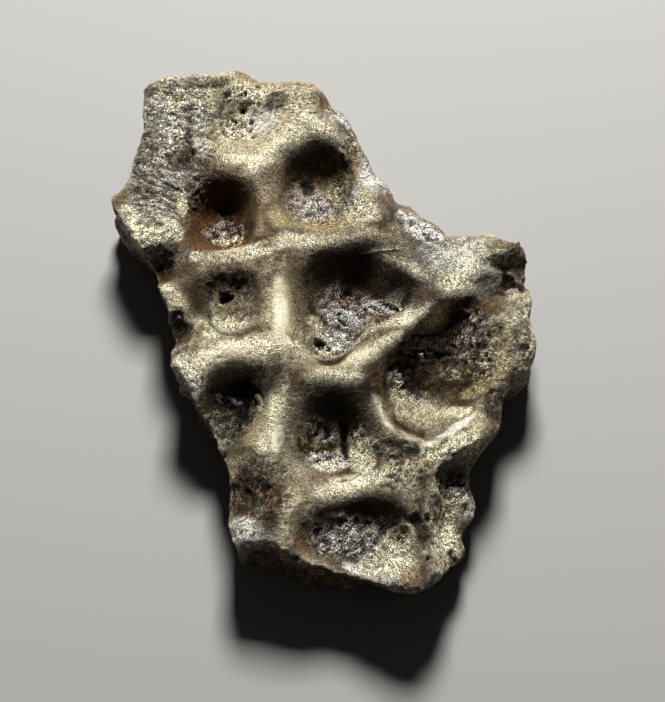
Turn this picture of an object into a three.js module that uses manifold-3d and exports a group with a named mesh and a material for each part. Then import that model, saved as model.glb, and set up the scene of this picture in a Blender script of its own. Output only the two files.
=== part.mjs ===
// A fragment of fossil amphibian scute: one broken piece of dermal bone plate.
// Its upper face is a net of rounded ridges round deep pits, its rim is all fracture,
// and it lies on the gently hollow inner face of the plate.
// Millimetres, +Z up. +Y runs along the fragment's length, towards its broad end.
import * as THREE from "three";
import { ImprovedNoise } from "three/addons/math/ImprovedNoise.js";
import { mergeVertices } from "three/addons/utils/BufferGeometryUtils.js";
import Module from "manifold-3d";

const CREST_HEIGHT = 9.2; // the ridge tops at the middle of the plate, above the surface it lies on
const TOP_CELL = 0.7; // grid spacing of the pitted face
const UNDER_CELL = 2.4; // grid spacing of the inner face
const RIM_STEP = 1.1; // spacing of the points along the broken edge
const EDGE_LEVELS = [-1, 0, 0.9, 2.3, 3.8, 5.3, 7, 14]; // heights of the fracture's rows of points
const EDGE_ROUGHNESS = 0.9; // how far the fracture wanders in and out
const EDGE_WAIST = 0.5; // how far the spongy middle of the plate has broken back
const FOOT_BEVEL = 0.8; // how far the lowest row of the fracture is drawn in
const HOLLOW_BLEND = 5; // how sharply neighbouring pits meet: higher keeps the crest crisper
const SHOULDER_DROP = 0.75; // how far the ridges roll down towards the rim of a deep pit
const SHOULDER_WIDTH = 2.4; // width of that roll
const SHOULDER_START = 0.92; // where it ends, as a share of the pit's reach
const DEEP_PIT = 4; // depth of a pit whose rim has the whole shoulder
const INNER_HOLLOW = 0.7; // depth of the inner face's hollow
const BLANK_MARGIN = 3; // how far the cutting slabs reach past the outline

// The broken edge, clockwise from the upper left corner, seen from above. Along each stretch the
// face falls by drop within width of the rim, and the foot of the fracture lies foot outside the
// rim, or inside it where foot is negative.
const EDGE = [
  {
    name: "top",
    drop: 1.2, width: 1.8, foot: -1.2,
    points: [
      [-17.2, 24.8], [-16.5, 25.4], [-15.2, 25.9], [-14.3, 26.2], [-13.2, 25.8], [-12, 26], [-10, 25.9],
      [-9.1, 26.4], [-8.2, 26.7], [-7.4, 26.3], [-6.6, 25.7], [-5.2, 25.2], [-3.9, 25.1], [-2.2, 25.2],
      [-0.9, 25], [0, 24.3], [0.7, 23.6],
    ],
  },
  {
    name: "upper right slope",
    drop: 3.2, width: 2.6, foot: 0.4,
    points: [
      [1.5, 22.8], [2.3, 22.4], [2.8, 21.5], [3.3, 20.8], [3.6, 19.7], [4.4, 18], [5, 16.8], [5.6, 15.7],
      [6.3, 15], [6.8, 14.3],
    ],
  },
  {
    name: "spongy ledge",
    drop: 4.4, width: 3.4, foot: 0.5,
    points: [[7.5, 13.4], [8.7, 13.1], [9.7, 12.1], [11, 11.4], [12.1, 10.6], [12.5, 9.6]],
  },
  {
    name: "wing top",
    drop: 1.2, width: 1.6, foot: -1,
    points: [[13.2, 8.8], [14.4, 8.65], [15.6, 8.7], [16.5, 9.1], [17.3, 8.5], [18.4, 8.2], [19.3, 8.3]],
  },
  {
    name: "right margin",
    drop: 2.4, width: 2.4, foot: -0.6,
    points: [
      [19.9, 7.9], [20.2, 6.6], [20.2, 5.6], [19.8, 5.1], [20.3, 4.3], [20.5, 3.2], [20.5, 2], [20.1, 1.2],
      [19.8, 0.6], [20.5, -0.3], [20.9, -1.4], [20.8, -2.7], [20.3, -4.2], [19.7, -5.3], [18.7, -6.1],
      [18, -6.8], [17.5, -7.8], [17.5, -9.4], [16.9, -10.7],
    ],
  },
  {
    name: "terrace",
    drop: 2.6, width: 2, foot: -1.2,
    points: [
      [16.5, -11.9], [16, -12.7], [15.2, -13.7], [14.8, -15], [14.8, -16], [15.3, -17.1], [15.5, -18.2],
      [14.9, -19.2], [14.2, -20.3],
    ],
  },
  {
    name: "terrace corner",
    drop: 2.6, width: 2, foot: -1.9,
    points: [[14, -21.4], [14.4, -22.3], [14.6, -22.9], [13.5, -23.9], [11.8, -25.2]],
  },
  {
    name: "front point",
    drop: 1.4, width: 1.2, foot: -2.3,
    points: [[9.5, -26.8], [8.5, -27.1], [7.6, -26.9], [6.3, -26.6], [4.5, -25.9]],
  },
  {
    name: "front wall, right",
    drop: 1.2, width: 0.8, foot: -0.8,
    points: [[3, -25.4], [0.9, -24.7]],
  },
  {
    name: "front wall, middle",
    drop: 0.9, width: 0.7, foot: 0.1,
    points: [[-0.5, -24.3], [-1.5, -23.9], [-2.9, -23.3], [-4.1, -22.5]],
  },
  {
    name: "front wall, left",
    drop: 0.9, width: 0.7, foot: -0.2,
    points: [[-5.6, -22.5], [-7.5, -22.6]],
  },
  {
    name: "left notch",
    drop: 1.4, width: 1.4, foot: -1.2,
    points: [
      [-8, -21.2], [-8.5, -20.4], [-8.3, -18], [-8.2, -15.6], [-8.8, -13.9], [-9.1, -13.2], [-9.7, -12.9],
      [-10, -12],
    ],
  },
  {
    name: "lower left wall",
    drop: 0.9, width: 0.8, foot: -0.6,
    points: [[-10.8, -10.2], [-11.6, -8.3], [-12.2, -7], [-13.1, -5.7], [-13.8, -5.2]],
  },
  {
    name: "left edge",
    drop: 0.9, width: 0.8, foot: -1.3,
    points: [[-13.9, -4.2], [-14, -2.2], [-14.3, -1.4], [-14.2, 1]],
  },
  {
    name: "left edge, undercut",
    drop: 0.9, width: 0.8, foot: -2.5,
    points: [[-15, 2.5], [-15.8, 4.1], [-16.2, 5.3], [-16.8, 6.4], [-17.4, 7.6]],
  },
  {
    name: "left corner",
    drop: 0.9, width: 0.8, foot: -0.2,
    points: [[-18.6, 9.7], [-19.5, 11.4], [-20, 12.3], [-20.1, 12.8]],
  },
  {
    name: "upper left edge",
    drop: 1.4, width: 1.5, foot: -0.6,
    points: [
      [-19.5, 13.6], [-18.3, 15.4], [-17.7, 17.6], [-17.3, 19.4], [-17.1, 21], [-17.3, 23.2],
    ],
  },
];

// The pits and shallower hollows of the upper face, each about its deepest point x, y. reach is how
// far its crest is from there in eight directions, anticlockwise from +X, and its floor is level
// out to the share flat of that.
const HOLLOWS = [
  {
    name: "top dish",
    x: -7.4, y: 20.7, depth: 2.1, flat: 0.12,
    reach: [3.9, 3.9, 4, 3.8, 3.6, 4, 4.5, 4.3],
  },
  {
    name: "upper right pit",
    x: 0, y: 13.6, depth: 3.8, flat: 0.42,
    reach: [4, 5, 5.7, 5.4, 4.9, 5.6, 5, 5],
  },
  {
    name: "rusty pit",
    x: -9.3, y: 10.6, depth: 4, flat: 0.34,
    reach: [3.7, 4.5, 4.9, 4.6, 3.8, 4.5, 4.3, 4.6],
  },
  {
    name: "upper left edge pit",
    x: -15.4, y: 5.2, depth: 2.3, flat: 0.25,
    reach: [3, 2.9, 2.5, 3, 3.4, 3.4, 2.3, 2.6],
  },
  {
    name: "left pit",
    x: -8.5, y: 1.6, depth: 2.3, flat: 0.45,
    reach: [4.1, 4.3, 4.1, 4.4, 4.2, 4.4, 4.6, 4.5],
  },
  {
    name: "lower left edge pit",
    x: -13.9, y: -1.3, depth: 1.9, flat: 0.25,
    reach: [2.8, 2.3, 2, 2, 2, 2, 2.2, 2.6],
  },
  {
    name: "centre pit",
    x: 1.8, y: 2.7, depth: 4.2, flat: 0.3,
    reach: [5.4, 6.3, 6.1, 5.7, 5.3, 6.2, 7.4, 6],
  },
  {
    name: "centre pit's right arm",
    x: 6.4, y: 1.7, depth: 3, flat: 0.1,
    reach: [5, 4.2, 4.6, 4.4, 4, 4, 3.4, 3.7],
  },
  {
    name: "centre pit's foot",
    x: 0.8, y: -2.4, depth: 2.6, flat: 0.35,
    reach: [3, 2.6, 2.6, 2.6, 2.8, 3, 3, 3],
  },
  {
    name: "right pit",
    x: 9.6, y: -5.6, depth: 3.9, flat: 0.34,
    reach: [8.8, 8.6, 5.6, 5.1, 5.1, 6, 7.6, 6.6],
  },
  {
    name: "right pit's upper arm",
    x: 11.6, y: -1.5, depth: 3, flat: 0.25,
    reach: [4.8, 5.9, 4.1, 3.6, 4.9, 6, 5, 4.8],
  },
  {
    name: "wing notch",
    x: 18.3, y: 5.2, depth: 1.7, flat: 0.25,
    reach: [2.6, 2.2, 1.9, 2.2, 2.6, 2.4, 2, 2.2],
  },
  {
    name: "lower left pit",
    x: -7.8, y: -8.4, depth: 3.7, flat: 0.28,
    reach: [3.7, 5.2, 5, 4.8, 4.3, 5.4, 5.8, 4.1],
  },
  {
    name: "lower middle pit",
    x: 1.5, y: -11.1, depth: 4, flat: 0.16,
    reach: [5.1, 4.7, 4.7, 4.9, 5.5, 6.2, 5.9, 6.5],
  },
  {
    name: "front pit",
    x: 3.8, y: -21.4, depth: 2.6, flat: 0.45,
    reach: [6.4, 4.9, 4.4, 4.9, 6.8, 5, 4.4, 5.8],
  },
  {
    name: "front left dish",
    x: -6.8, y: -17.8, depth: 1.5, flat: 0.2,
    reach: [3.4, 3.4, 4, 3.2, 3, 3, 3.6, 3.4],
  },
  {
    name: "crusty terrace",
    x: 14, y: -18, depth: 2.9, flat: 0.66,
    reach: [7, 7, 5.2, 4.4, 3.3, 5.4, 9, 8],
  },
  {
    name: "rough patch",
    x: 8, y: -14.2, depth: 0.5, flat: 0.2,
    reach: [3, 2.6, 2.4, 2.6, 3, 3.4, 3.4, 3],
  },
  {
    name: "wing saddle",
    x: 13.2, y: 6.2, depth: 0.4, flat: 0.2,
    reach: [4, 4, 4, 4, 4.4, 4, 3.4, 3.4],
  },
  {
    name: "wing valley",
    x: 16.2, y: 3.4, depth: 1.5, flat: 0.1,
    reach: [3.6, 4.6, 2.2, 2, 3.6, 3.2, 1.9, 2.2],
  },
  {
    name: "corner valley",
    x: -15.8, y: 12.6, depth: 1, flat: 0.15,
    reach: [3.6, 3.4, 3.4, 4, 5, 4.2, 4.2, 4],
  },
  {
    name: "corner dip",
    x: -13.2, y: 16.6, depth: 0.8, flat: 0.2,
    reach: [2.2, 2, 2, 2.4, 2.6, 2.4, 2, 2],
  },
  {
    name: "corner plateau",
    x: -15, y: 21.8, depth: 0.6, flat: 0.3,
    reach: [2.8, 3, 4, 4, 4, 4, 4, 3],
  },
];

// Places where the ridges swell above the general level.
const SWELLINGS = [
  { name: "knot under the top dish", x: -4.6, y: 16.4, r: 2.4, height: 0.4 },
  { name: "pillow right of the left pit", x: -4, y: 1, r: 2.6, height: 0.4 },
  { name: "pillow below the left pit", x: -10.2, y: -2.8, r: 2.4, height: 0.4 },
  { name: "knot below the centre pit", x: -1.8, y: -5.4, r: 2.4, height: 0.3 },
  { name: "crest above the right arm", x: 8, y: 6.6, r: 2, height: 0.3 },
  { name: "long diagonal ridge", x: 8.4, y: -1.6, r: 3, height: 0.4 },
  { name: "lip of the right pit", x: 12.9, y: -12.5, r: 2.6, height: 0.4 },
];

const noise = new ImprovedNoise();
const smoothstep = THREE.MathUtils.smoothstep;

// The whole rim as samples about RIM_STEP apart, each with its stretch's drop, width and foot.
function sampleRim() {
  const corners = EDGE.flatMap(({ drop, width, foot, points }) =>
    points.map(([x, y]) => ({ x, y, drop, width, foot })),
  );
  const samples = [];
  corners.forEach((from, i) => {
    const to = corners[(i + 1) % corners.length];
    const steps = Math.max(1, Math.round(Math.hypot(to.x - from.x, to.y - from.y) / RIM_STEP));
    for (let k = 0; k < steps; k++) {
      const share = k / steps;
      samples.push(
        Object.fromEntries(
          Object.keys(from).map((key) => [key, THREE.MathUtils.lerp(from[key], to[key], share)]),
        ),
      );
    }
  });
  return samples;
}

const rim = sampleRim();

// The nearest point of the rim to x, y: how far it is, and how the edge is made there.
function nearestRim(x, y) {
  let nearest = { distance: Infinity };
  rim.forEach((from, i) => {
    const to = rim[(i + 1) % rim.length];
    const along = [to.x - from.x, to.y - from.y];
    const reach = (x - from.x) * along[0] + (y - from.y) * along[1];
    const share = THREE.MathUtils.clamp(reach / (along[0] ** 2 + along[1] ** 2), 0, 1);
    const distance = Math.hypot(x - from.x - share * along[0], y - from.y - share * along[1]);
    if (distance < nearest.distance) {
      nearest = {
        distance,
        drop: THREE.MathUtils.lerp(from.drop, to.drop, share),
        width: THREE.MathUtils.lerp(from.width, to.width, share),
      };
    }
  });
  return nearest;
}

// How far a hollow's crest is from its middle in the direction of x, y: a smooth closed curve
// through its eight reaches.
function reachTowards(pit, x, y) {
  const count = pit.reach.length;
  const turns = Math.atan2(y - pit.y, x - pit.x) / (2 * Math.PI) + 1;
  const step = Math.floor(turns * count);
  const t = turns * count - step;
  const [before, from, to, after] = [-1, 0, 1, 2].map((k) => pit.reach[(step + k) % count]);
  const bend = 2 * before - 5 * from + 4 * to - after;
  return from + 0.5 * ((to - before) * t + bend * t ** 2 + (3 * (from - to) + after - before) * t ** 3);
}

// How deep the pits are at x, y. A power mean joins them, so that the crest between two is rounded.
function hollowDepth(x, y) {
  let wells = 0;
  let shoulders = 0;
  for (const pit of HOLLOWS) {
    const distance = Math.hypot(x - pit.x, y - pit.y);
    const reach = reachTowards(pit, x, y);
    const outside = distance - SHOULDER_START * reach;
    const shoulder = SHOULDER_DROP * Math.min(pit.depth / DEEP_PIT, 1);
    wells += (pit.depth * (1 - smoothstep(distance / reach, pit.flat, 1.03))) ** HOLLOW_BLEND;
    shoulders += shoulder * (1 - smoothstep(outside, 0, SHOULDER_WIDTH));
  }
  return wells ** (1 / HOLLOW_BLEND) + shoulders;
}

function swelling(x, y) {
  return SWELLINGS.reduce(
    (sum, s) => sum + s.height * Math.exp(-((x - s.x) ** 2 + (y - s.y) ** 2) / (s.r * s.r)),
    0,
  );
}

// The level of the ridge tops: a low dome that rolls a little.
function crestLevel(x, y) {
  const dome = 0.0022 * x * x + 0.0012 * (y - 1) ** 2;
  return CREST_HEIGHT - dome + 0.35 * noise.noise(x / 7, y / 7, 3.1);
}

function topHeight(x, y) {
  const edge = nearestRim(x, y);
  const fall = edge.drop * (1 - smoothstep(edge.distance, -0.4, edge.width)) ** 1.5;
  const relief = (0.12 + 0.3 * Math.exp(-edge.distance / 1.5)) * noise.noise(x / 1.9, y / 1.9, 7.7);
  return crestLevel(x, y) + swelling(x, y) - hollowDepth(x, y) - fall + relief;
}

// The inner face: level where the piece stands, hollow in the middle, and chipped near the rim.
function underHeight(x, y) {
  const edge = nearestRim(x, y);
  const hollow = INNER_HOLLOW * Math.exp(-((x / 7) ** 2 + ((y - 2) / 10) ** 2));
  const nearEdge = 1 - smoothstep(edge.distance, 0.5, 5);
  const chips = 2.2 * Math.max(0, noise.noise(x / 5, y / 5, 12.3) + 0.1) * nearEdge;
  return Math.max(0, hollow - 0.1, chips);
}

// A closed slab over the whole outline whose upper or lower face follows heightAt.
function slab(cell, flatFace, heightAt, shapedFaceIsUpper) {
  const box = new THREE.Box2().setFromPoints(rim.map(({ x, y }) => new THREE.Vector2(x, y)));
  box.expandByScalar(BLANK_MARGIN);
  const size = box.getSize(new THREE.Vector2());
  const middle = box.getCenter(new THREE.Vector2());
  const columns = Math.round(size.x / cell);
  const rows = Math.round(size.y / cell);
  const geometry = new THREE.BoxGeometry(size.x, size.y, 1, columns, rows, 1);
  geometry.translate(middle.x, middle.y, 0);
  const at = geometry.getAttribute("position");
  for (let i = 0; i < at.count; i++) {
    const shaped = at.getZ(i) > 0 === shapedFaceIsUpper;
    at.setZ(i, shaped ? heightAt(at.getX(i), at.getY(i)) : flatFace);
  }
  splitCellsToFit(geometry, geometry.groups[shapedFaceIsUpper ? 4 : 5], heightAt);
  return geometry;
}

// Each cell of the shaped face is cut in two along whichever diagonal lies nearer the surface.
function splitCellsToFit(geometry, { start, count }, heightAt) {
  const index = geometry.index.array;
  const corner = (i) => new THREE.Vector3().fromBufferAttribute(geometry.getAttribute("position"), i);
  for (let i = start; i < start + count; i += 6) {
    const [a, b, d, , c] = index.slice(i, i + 6);
    const drawn = corner(b).lerp(corner(d), 0.5);
    const other = corner(a).lerp(corner(c), 0.5);
    const height = heightAt(drawn.x, drawn.y);
    if (Math.abs(other.z - height) < Math.abs(drawn.z - height)) {
      index.set([a, b, c, a, c, d], i);
    }
  }
}

// The fracture all round: a turned blank whose every row of points is moved onto the rim, drawn in
// or out towards its foot, and roughened.
function fractureBlank() {
  const profile = [
    new THREE.Vector2(0, EDGE_LEVELS[0]),
    ...EDGE_LEVELS.map((z) => new THREE.Vector2(1, z)),
    new THREE.Vector2(0, EDGE_LEVELS.at(-1)),
  ];
  const geometry = new THREE.LatheGeometry(profile, rim.length);
  const at = geometry.getAttribute("position");
  for (let i = 0; i < at.count; i++) {
    const level = i % profile.length;
    const z = profile[level].y;
    if (profile[level].x === 0) {
      at.setXYZ(i, 0, 0, z);
      continue;
    }
    const { x, y, foot } = rim[(2 * rim.length - Math.floor(i / profile.length)) % rim.length];
    const radius = Math.hypot(x, y);
    const depth = THREE.MathUtils.clamp(1 - z / (CREST_HEIGHT - 2), 0, 1);
    const rough = EDGE_ROUGHNESS * noise.noise(x / 2.6, y / 2.6, z / 1.9) * Math.min(1, 2.5 * depth);
    const waist = EDGE_WAIST * Math.sin(Math.PI * depth) ** 2;
    const bevel = FOOT_BEVEL * (1 - smoothstep(z, 0, EDGE_LEVELS[2]));
    const reach = (radius + foot * depth ** 0.8 + rough - waist - bevel) / radius;
    at.setXYZ(i, x * reach, y * reach, z);
  }
  return geometry;
}

const wasm = await Module();
wasm.setup();

function solidOf(geometry) {
  geometry.deleteAttribute("normal");
  geometry.deleteAttribute("uv");
  const merged = mergeVertices(geometry, 1e-4);
  const solid = new wasm.Manifold(
    new wasm.Mesh({
      numProp: 3,
      vertProperties: merged.getAttribute("position").array,
      triVerts: new Uint32Array(merged.index.array),
    }),
  );
  return solid;
}

function geometryOf(solid) {
  const mesh = solid.getMesh();
  const geometry = new THREE.BufferGeometry();
  geometry.setAttribute("position", new THREE.BufferAttribute(mesh.vertProperties, mesh.numProp));
  geometry.setIndex(new THREE.BufferAttribute(mesh.triVerts, 1));
  geometry.computeVertexNormals();
  return geometry;
}

const pittedFace = solidOf(slab(TOP_CELL, -3, topHeight, true));
const innerFace = solidOf(slab(UNDER_CELL, 20, underHeight, false));
const fracture = solidOf(fractureBlank());
const bone = fracture.intersect(pittedFace).intersect(innerFace);

const shape = geometryOf(bone);
shape.computeBoundingBox();
const middle = shape.boundingBox.getCenter(new THREE.Vector3());
shape.translate(-middle.x, -middle.y, 0);

const scute = new THREE.Mesh(
  shape,
  new THREE.MeshStandardMaterial({ color: 0xa89a7a, roughness: 0.5, metalness: 0 }),
);
scute.name = "scute";

const fossil = new THREE.Group();
fossil.add(scute);
export default fossil;
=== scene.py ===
"""Looks of a fossil amphibian scute: a broken piece of pitted skin bone, turned to stone.

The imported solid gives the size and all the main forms. The bone piece starts as a copy of it, is
remeshed finer, and gets the relief that the solid leaves out: openings for vessels, growth rings,
grain, crusts and the broken spongy edge. The tables are in millimetres, Blender's lengths in metres.
"""

import math

import bmesh
import bpy
import numpy as np
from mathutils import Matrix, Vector, noise
from mathutils.bvhtree import BVHTree


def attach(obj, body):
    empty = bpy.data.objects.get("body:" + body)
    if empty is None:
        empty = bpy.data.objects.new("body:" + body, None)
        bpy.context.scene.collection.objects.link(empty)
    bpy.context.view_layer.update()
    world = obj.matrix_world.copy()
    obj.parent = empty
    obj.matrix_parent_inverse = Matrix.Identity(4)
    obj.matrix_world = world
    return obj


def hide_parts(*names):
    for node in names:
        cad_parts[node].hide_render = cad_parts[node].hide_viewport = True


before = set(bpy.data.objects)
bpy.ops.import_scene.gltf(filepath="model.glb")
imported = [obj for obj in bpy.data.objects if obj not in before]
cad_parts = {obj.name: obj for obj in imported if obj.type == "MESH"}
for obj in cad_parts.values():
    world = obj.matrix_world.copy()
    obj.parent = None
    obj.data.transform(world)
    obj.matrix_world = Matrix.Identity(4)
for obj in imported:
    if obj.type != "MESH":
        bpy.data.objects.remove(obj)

bl_info = {
    "name": "Fossil Amphibian Scute",
    "version": (1, 0, 0),
    "blender": (4, 5, 0),
    "location": "View3D > Sidebar > Scute",
    "description": "Builds the looks of a pitted fragment of fossil amphibian bone",
    "category": "Object",
}

MM = 0.001

# The level of the ridges between the pits falls off gently from the middle of the pitted face.
CREST_HEIGHT = 9.2
CREST_FALL_X = 0.0022
CREST_FALL_Y = 0.0012
CREST_MIDDLE_Y = 1.0

# Corners of the solid closer than this are welded into one.
WELD = 0.001

# A slope is the upward part of a normal: 1 facing up, 0 on an upright wall and -1 facing down. The
# squares of the mesh are halved where the slope is above the first of these. They are halved once
# more round narrow openings and lines, where it is above the second.
FACE_SLOPE = 0.15
FINE_SLOPE = 0.1

# Openings and lines are narrow below this radius and this half width. The smallest squares reach
# so many times that far from their middles.
NARROW_OPENING = 0.65
NARROW_LINE = 0.25
ROUND_OPENING = 1.4
ROUND_LINE = 1.6

# A place is steep if its slope is nearer to 0 than the first value. It is on a broken wall if
# nothing lies further outwards of it than the second.
STEEP_SLOPE = 0.75
WALL_CLEARANCE = 0.3

# Rounds of averaging over neighbours: to soften the walls' edge, and to find small and broad hollows.
WALL_ROUNDS = 3
FINE_ROUNDS = 2
BROAD_ROUNDS = 14

# Typical radius of a pit's rim, along which the fibres of the bone are spaced, and the shift from
# the fibres of one pit to those of the next.
RIM_RADIUS = 4.0
PIT_SHIFT = 10.0

# Fibrous relief runs across the pits at this angle, and is this many times longer than wide.
FIBRE_ANGLE = -28
FIBRE_STRETCH = 5.0

# Openings for vessels, and small hollows: x, y, radius, depth.
OPENINGS = [
    (-7.7, 22.6, 0.40, 0.7),
    (-8.5, 21.4, 0.22, 0.30),
    (-6.9, 21.3, 0.24, 0.35),
    (-7.5, 23.8, 0.20, 0.20),
    (-6.2, 24.2, 0.30, 0.25),
    (-1.3, 15.2, 0.75, 0.5),
    (-9.1, 13.0, 0.90, 0.4),
    (-9.0, 2.9, 0.60, 1.0),
    (-0.2, -1.4, 0.48, 1.0),
    (0.6, -1.8, 0.30, 0.5),
    (2.3, 4.4, 0.60, 0.3),
    (17.6, 4.7, 0.70, 0.9),
    (14.3, 2.2, 0.70, 0.5),
    (16.4, -0.9, 0.60, 0.4),
    (-8.8, -7.3, 0.60, 0.5),
    (8.6, -19.9, 0.60, 0.4),
    (7.2, -21.3, 0.60, 0.30),
    (12.4, -23.1, 1.30, 0.5),
    (9.7, -23.6, 0.22, 0.30),
    (-9.1, -13.2, 0.35, 0.5),
    (-11.3, -0.6, 0.22, 0.22),
]

# Raised lines, and grooves with a negative height: name, half width, height, points on the way.
LINES = [
    (
        "outer crescent of the right pit", 0.55, 0.55,
        [(5.1, -6.9), (5.2, -8.3), (5.8, -9.8), (6.9, -11.3), (8.3, -12.4), (9.9, -12.9)],
    ),
    (
        "groove inside the crescent", 0.45, -0.45,
        [(6.1, -6.2), (6.4, -7.8), (7.1, -9.4), (8.2, -10.7), (9.8, -11.3), (11.4, -10.9)],
    ),
    ("inner crescent", 0.35, 0.25, [(6.5, -4.6), (6.9, -6.2), (7.6, -7.8), (8.8, -9.2)]),
    ("lip of the right pit", 0.45, 0.25, [(10.2, -12.5), (12.0, -11.6), (13.4, -10.4), (14.2, -9.4)]),
    ("crack in the lower middle pit", 0.28, -0.60, [(1.9, -8.6), (2.1, -9.9), (2.0, -11.1), (2.3, -12.5)]),
    ("channel of the plateau", 0.30, -0.25, [(-12.9, 22.1), (-12.7, 20.4), (-12.9, 18.8), (-12.5, 17.3)]),
    ("rib beside the front pit", 0.45, 0.30, [(-2.1, -18.4), (-2.9, -19.4), (-3.1, -20.8), (-2.8, -22.2)]),
    ("furrow of the wing", 0.45, -0.35, [(15.6, 5.9), (17.2, 6.0), (18.5, 6.4), (19.7, 6.7)]),
    (
        "step around the floor of the left pit", 0.32, -0.25,
        [(-10.6, 3.4), (-10.9, 1.9), (-10.5, 0.1), (-9.6, -0.9), (-8.0, -1.3), (-6.6, -1.0)],
    ),
    ("hair in the centre pit", 0.10, 0.08, [(3.6, 7.2), (5.4, 7.15), (7.4, 6.9)]),
    ("crack in front of the lower middle pit", 0.14, -0.18, [(1.6, -16.0), (2.7, -15.8), (3.6, -15.1)]),
]

# Growth rings: name, middle, radius, the arc they run along in degrees, half width, height.
RINGS = [
    ("right side of the top dish", (-7.2, 22.3), 2.6, (-95, 15), 0.22, 0.26),
    ("left side of the top dish", (-7.0, 21.6), 2.9, (115, 235), 0.30, -0.35),
    ("rim of the top dish", (-7.2, 22.0), 3.6, (-110, -5), 0.24, 0.14),
    ("foot of the centre pit", (0.4, -1.5), 1.75, (120, 330), 0.24, 0.18),
    ("outer ring of that foot", (0.4, -1.5), 2.35, (150, 300), 0.20, 0.08),
    ("front pit", (7.2, -21.3), 1.30, (-60, 200), 0.24, 0.22),
    ("lower middle pit", (1.0, -11.2), 3.6, (165, 290), 0.28, 0.14),
    ("outer ring of the lower middle pit", (1.0, -11.2), 4.5, (175, 310), 0.26, 0.12),
]

# Middles of the pits, from which the fibres of the bone spread.
PITS = [
    (-7.4, 21.6), (-0.3, 14.3), (-9.7, 11.6), (-8.4, 2.0), (2.4, 2.8),
    (11.0, -4.0), (-8.4, -8.2), (0.8, -11.2), (4.4, -20.3),
]

# Soft noises: strength, size in millimetres, octaves, a shift that keeps it apart from the others,
# and for some a stretch along x, y and z. Heights and widths are in millimetres.
NOISES = {
    "ragged mouths": (0.6, 0.9, 3, 7.1),
    "uneven lines": (0.5, 1.3, 2, 3.3),
    "ragged edges": (0.30, 2.2, 4, 0.4),
    "swells of the bone": (0.05, 2.6, 3, 2.2),
    "grain of the bone": (0.018, 0.5, 2, 6.6),
    "layers of the walls": (0.30, 1.1, 4, 5.0, (1.6, 1.6, 0.45)),
    "streaks of the inner face": (0.05, 0.9, 3, 3.8, (1, 5, 1)),
    "drifts of colour": (1.0, 3.0, 4, 8.1),
    "mottling": (1.0, 1.2, 4, 3.9),
    "flecks": (1.0, 0.55, 2, 9.9),
}

# Soft limits: no effect at the first value, the full effect at the second, and how strong that is.
LIMITS = {
    # slopes
    "sculpted slope": (0.0, 0.3, 1),
    "patched slope": (-0.1, 0.15, 1),
    "pit slope": (-0.2, 0.2, 1),
    "level floor": (0.3, 0.7, 1),
    "sculpted inner face": (-0.3, -0.8, 1),
    "painted inner face": (-0.2, -0.6, 1),
    # depths below the ridges, and depths of openings
    # stain and painted shade deep in the pits
    "dark depth": (0.9, 2.8, 0.8),
    "depth without patches": (0.9, 2.1, 1),
    "floor depth": (1.5, 3.5, 1),
    # painted shade in the openings
    "painted shade in an opening": (0.1, 0.7, 0.8),
    # shares of an opening's radius, and of the way round a ring
    "mouth": (1.5, 0.2, 1),
    "start of a ring": (0, 0.2, 1),
    "end of a ring": (1, 0.8, 1),
    # relief and coarseness of a surface
    "tops of grains": (-0.4, 0.2, 1),
    "crumbling ground": (0.6, 1.0, 1),
    # noises
    "light drifts": (-0.1, 0.7, 1),
    "dark drifts": (0.1, -0.6, 1),
    "mottling": (0.0, -0.5, 0.55),
    "flecks": (0.1, -0.4, 0.65),
    # hollowness in millimetres, negative on ridges and grains: painted shade with some dirt in pores and
    # creases, pale wear with a painted highlight on grains and ridges
    "pores": (0.0, 0.05, 0.8),
    "creases": (0.0, 0.2, 0.45),
    "wear of the grain": (0.0, -0.03, 0.5),
    "wear and highlight of the ridges": (-0.02, -0.25, 0.6),
    "polish of the ridges": (-0.02, -0.25, 0.7),
    # lightness of the colour
    "stained": (0.08, 0.01, 1),
    "chalky": (0.2, 0.5, 1),
}

# The broken walls: the size of the cells in their sponge, its relief, and how red they are.
SPONGE_CELL = 0.9
SPONGE_RELIEF = 0.22
WALL_TINT = 0.9

# How far the growth rings stray from true circles, as a share of the lines' unevenness.
RING_WANDER = 0.3

# Colours of the bone and of the minerals in it.
PALETTE = {
    "pale": "#c8bfa2",
    "ivory": "#b0a88e",
    "cream": "#938a70",
    "straw": "#897d59",
    "bone": "#6b604a",
    "olive": "#504b37",
    "umber": "#47361f",
    "dark": "#291d0f",
    "black": "#0f0a06",
    "red brown": "#7d5f45",
    "rust": "#523619",
    "orange": "#9a7238",
    "amber": "#735e38",
    "rose": "#908276",
    "grey": "#77736a",
    "green grey": "#5f665a",
    "chalk": "#98958a",
    "white": "#b6b4ac",
}

# Kinds of surface: the shape of the relief, its height, the size of its grains, and how coarse the
# grain of the bone is there, from 0 for polished to 1 for crumbs.
SURFACES = {
    "polished": ("grains", 0.02, 0.5, 0.0),
    "sandy": ("grains", 0.09, 0.5, 0.6),
    "granular": ("grains", 0.18, 0.8, 0.9),
    "crumbly": ("grains", 0.26, 0.9, 1.0),
    "streaked": ("fibres", 0.17, 0.40, 0.85),
    "fibrous": ("fibres", 0.26, 0.50, 0.85),
    "lumpy": ("lumps", 0.45, 1.4, 0.8),
    "pocked": ("pores", 0.28, 0.7, 0.9),
}
BARE_GRAIN = 0.4

# A patch that covers less than this is left out of the relief.
FAINT_COVER = 0.01

# Surfaces coarser than this have the colour of a patch on their grains, and only this share of it
# between them.
CRUMBLING = 0.8
BETWEEN_GRAINS = 0.4
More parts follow.
